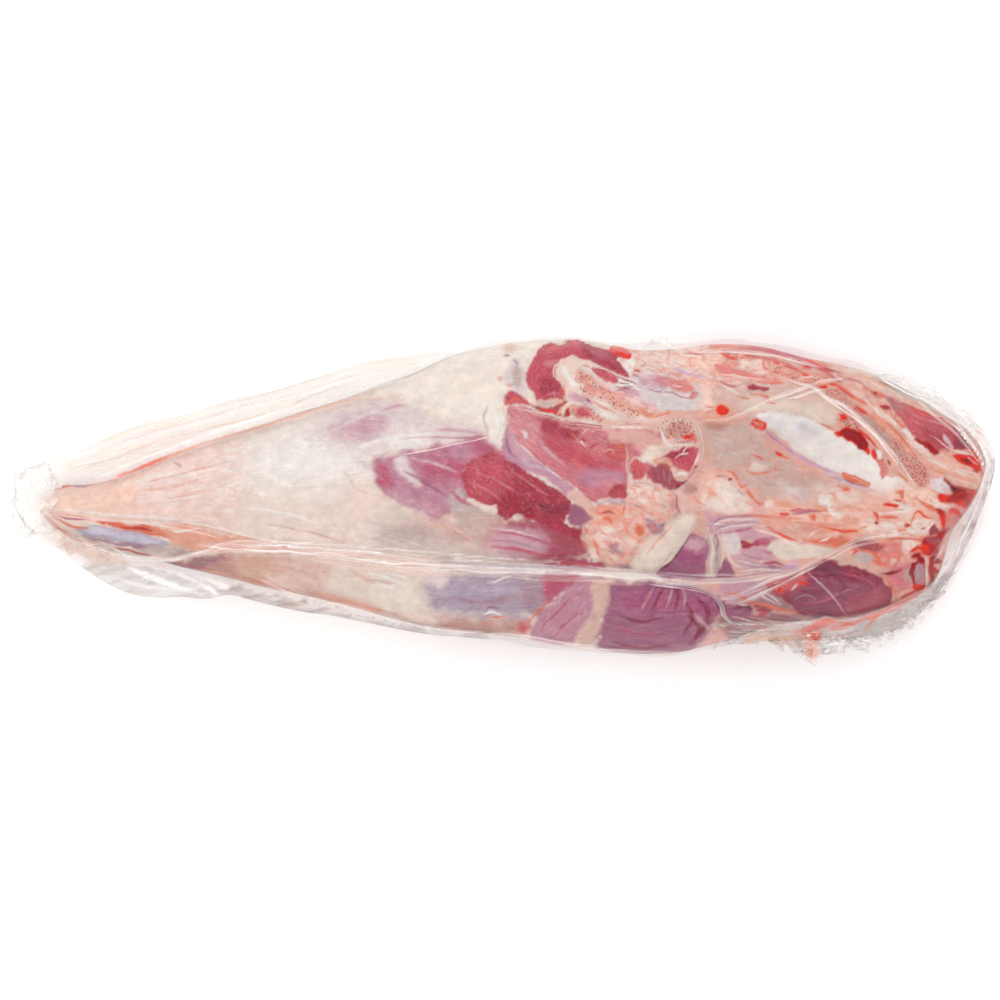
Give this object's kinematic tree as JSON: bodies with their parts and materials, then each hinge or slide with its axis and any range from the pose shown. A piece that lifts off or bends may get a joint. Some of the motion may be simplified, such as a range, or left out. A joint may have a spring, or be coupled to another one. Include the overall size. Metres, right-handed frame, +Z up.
{
  "type": "raw goat leg",
  "caption": "Raw bone-in goat hind leg with the rump on, sawn inner face up, sealed tight in a clear creased film bag gathered at the hock end.",
  "frame": {"origin": "on the surface it lies on, under the middle of the bounding box", "axes": "+X from the gathered hock end to the sawn rump end; +Z up, out of the sawn inner face; +Y towards the side of the aitch bone and backbone"},
  "size_m": [0.496, 0.1598, 0.0842],
  "materials": {
    "meat": "wet raw meat, fat and bone",
    "film": "clear creased plastic film"
  },
  "bodies": {
    "root": {"bagged_leg": "meat"}
  },
  "joints": []
}
